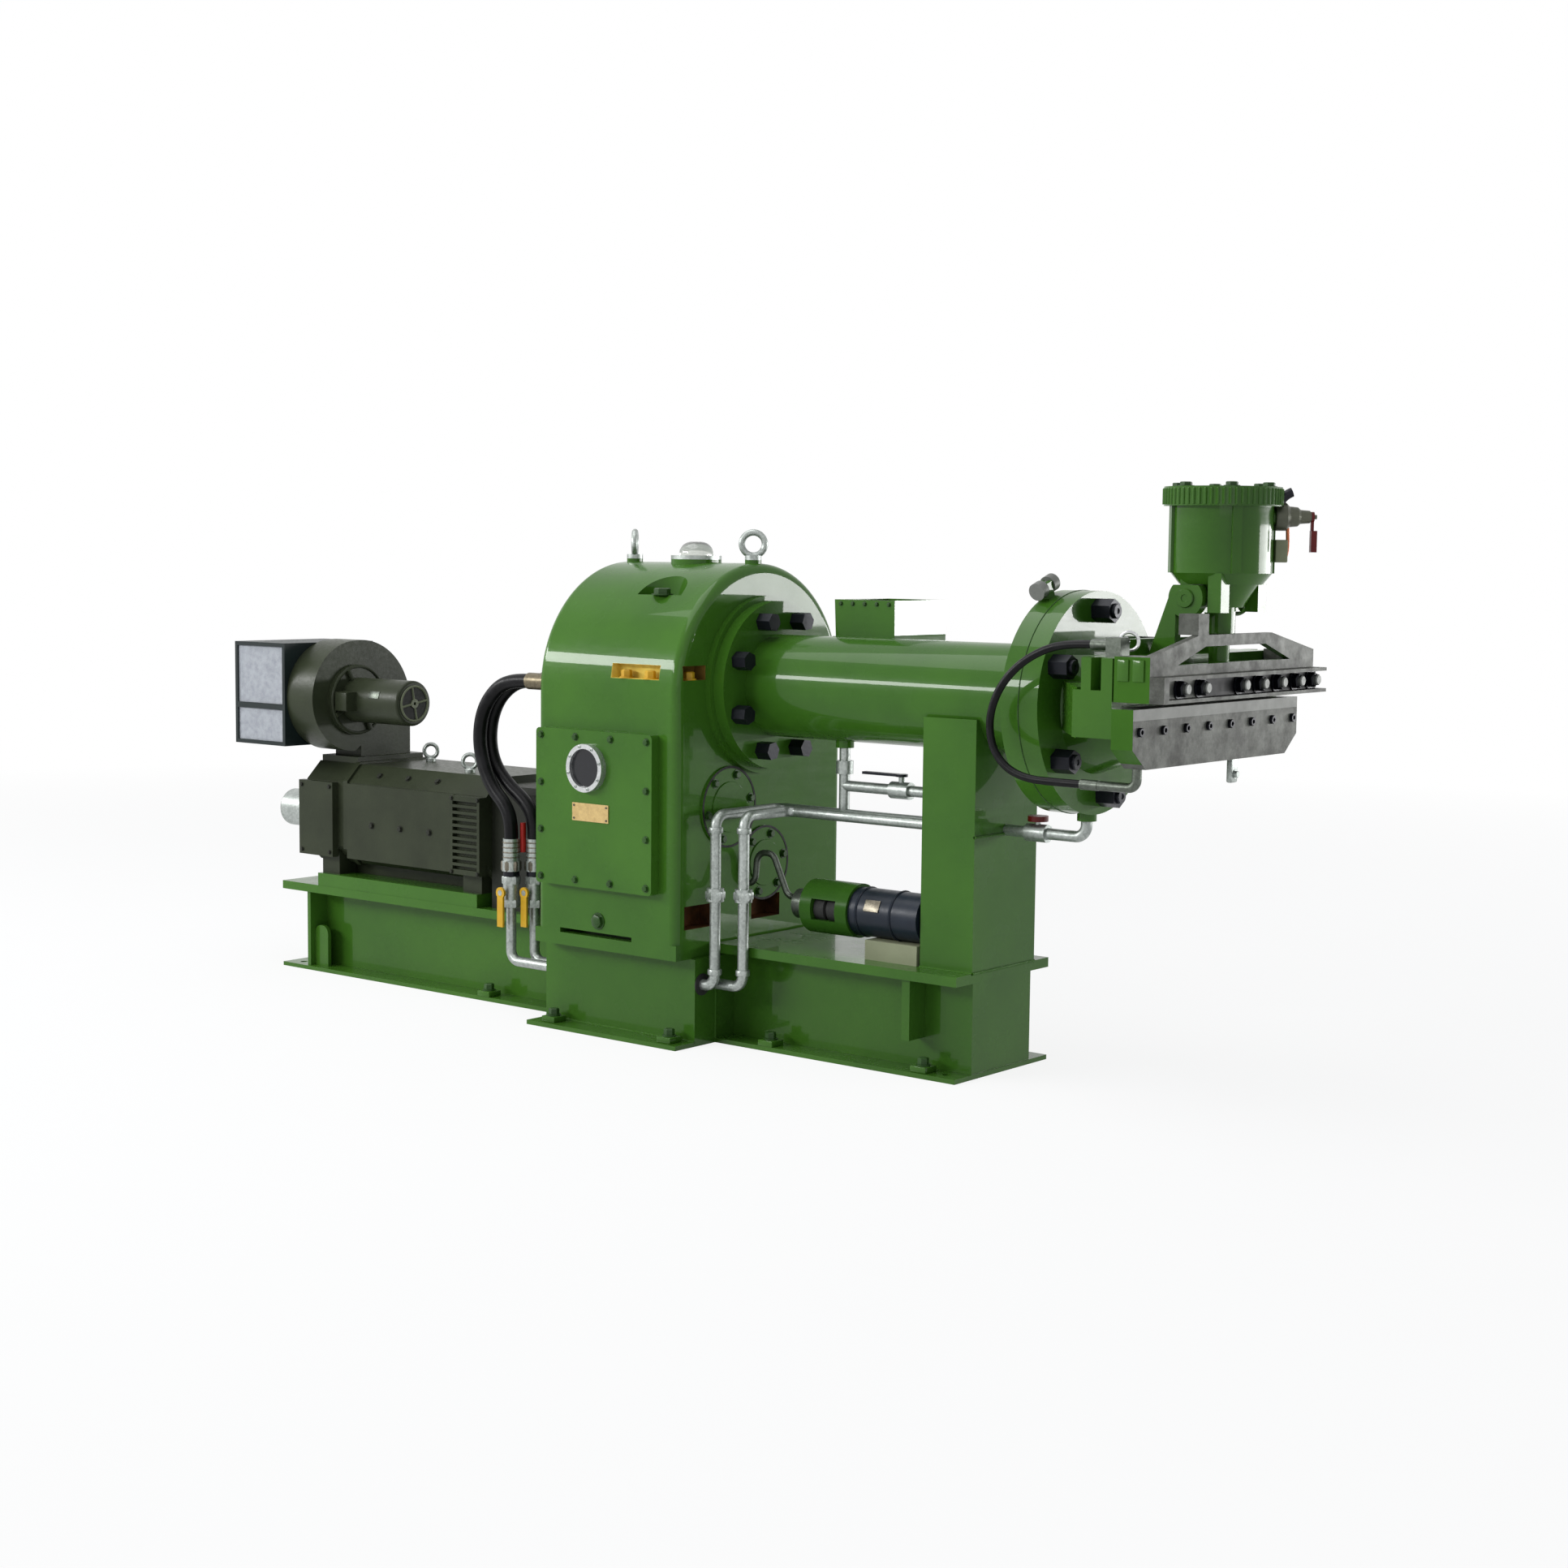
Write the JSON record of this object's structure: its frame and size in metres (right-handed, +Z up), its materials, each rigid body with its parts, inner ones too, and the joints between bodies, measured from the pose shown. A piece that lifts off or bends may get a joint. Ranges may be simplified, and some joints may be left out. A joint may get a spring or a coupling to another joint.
{
  "type": "rubber extruder",
  "caption": "Motor-driven rubber extruder on a long welded base: arched gearbox, cooled barrel with feed hopper and a wide sheeting die closed by a clamp cylinder.",
  "frame": {"origin": "on the floor under the middle of the base, on the machine's centre line", "axes": "+X along the machine from the motor to the die, +Y to the side away from the picture's view, +Z up"},
  "size_m": [4.0896, 0.911, 1.702],
  "materials": {
    "green_enamel": "glossy brushed and sprayed enamel",
    "motor_paint": "satin olive grey paint",
    "filter_frame": "satin near-black sheet",
    "filter_mat": "coarse pale filter mat",
    "machined_steel": "mottled bare machined steel",
    "dark_bolts": "black oxide",
    "zinc_steel": "galvanised and plated pipe and fittings",
    "lever_yellow": "dipped plastic",
    "handle_red": "moulded plastic",
    "hose_rubber": "smooth black hose cover",
    "blank_brass": "bare etched plate",
    "chrome_ring": "polished",
    "dark_glass": "sight glass over oil",
    "clear_dome": "clear moulded dome",
    "navy_paint": "satin navy paint",
    "beige_paint": "satin beige paint"
  },
  "bodies": {
    "machine": {"motor_bed": "green_enamel", "gearbox_plinth": "green_enamel", "barrel_bed": "green_enamel", "motor_body": "motor_paint", "motor_covers": "motor_paint", "motor_vents": "motor_paint", "tacho_cover": "zinc_steel", "coupling_guard": "motor_paint", "blower_scroll": "motor_paint", "blower_motor": "motor_paint", "filter_box": "filter_frame", "filter_mats": "filter_mat", "gearbox_case": "green_enamel", "gearbox_side_panels": "green_enamel", "sight_glass_ring": "chrome_ring", "sight_glass_pane": "dark_glass", "nameplate": "blank_brass", "breather": "zinc_steel", "breather_dome": "clear_dome", "lifting_eyes": "zinc_steel", "bearing_covers": "green_enamel", "barrel": "green_enamel", "barrel_studs": "dark_bolts", "flange_pin": "machined_steel", "feed_hopper": "machined_steel", "column": "green_enamel", "saddle": "green_enamel", "head_neck": "green_enamel", "head_studs": "dark_bolts", "head_body": "green_enamel", "lower_jaw": "machined_steel", "clamp_cylinder": "green_enamel", "cylinder_ears": "green_enamel", "cylinder_valve": "zinc_steel", "water_pipes": "zinc_steel", "drain_pipe": "zinc_steel", "drain_handle": "handle_red", "hose_couplings": "zinc_steel", "hose_valves": "zinc_steel", "drive_hose_a": "hose_rubber", "drive_hose_b": "hose_rubber", "head_hose_fittings": "zinc_steel", "head_hose": "hose_rubber", "pump_bell": "green_enamel", "pump_motor": "navy_paint", "pump_block": "beige_paint", "pump_body": "zinc_steel"},
    "die_clamp": {"upper_jaw": "machined_steel", "clamp_rod": "green_enamel"},
    "branch_lever": {"branch_valve_lever": "dark_bolts"},
    "hose_lever_a": {"hose_valve_lever_a": "lever_yellow"},
    "hose_lever_b": {"hose_valve_lever_b": "lever_yellow"},
    "hand_lever": {"cylinder_valve_lever": "handle_red"}
  },
  "joints": [
    {"name": "clamp_lift", "type": "slide", "parent": "machine", "child": "die_clamp", "axis": [0, 0, 1], "range_m": [0, 0.03]},
    {"name": "branch_valve_turn", "type": "hinge", "parent": "machine", "child": "branch_lever", "pos_m": [1.108, 0, 0.804], "axis": [0, 0, 1], "range_deg": [0, 90]},
    {"name": "hose_valve_a_turn", "type": "hinge", "parent": "machine", "child": "hose_lever_a", "pos_m": [-0.234, -0.318, 0.4], "axis": [0, 1, 0], "range_deg": [0, 90]},
    {"name": "hose_valve_b_turn", "type": "hinge", "parent": "machine", "child": "hose_lever_b", "pos_m": [-0.176, -0.268, 0.4], "axis": [0, -1, 0], "range_deg": [0, 90]},
    {"name": "hand_valve_turn", "type": "hinge", "parent": "machine", "child": "hand_lever", "pos_m": [2.35396, 0.14978, 1.624], "axis": [0.7771, 0.6293, 0], "range_deg": [0, 90]}
  ]
}
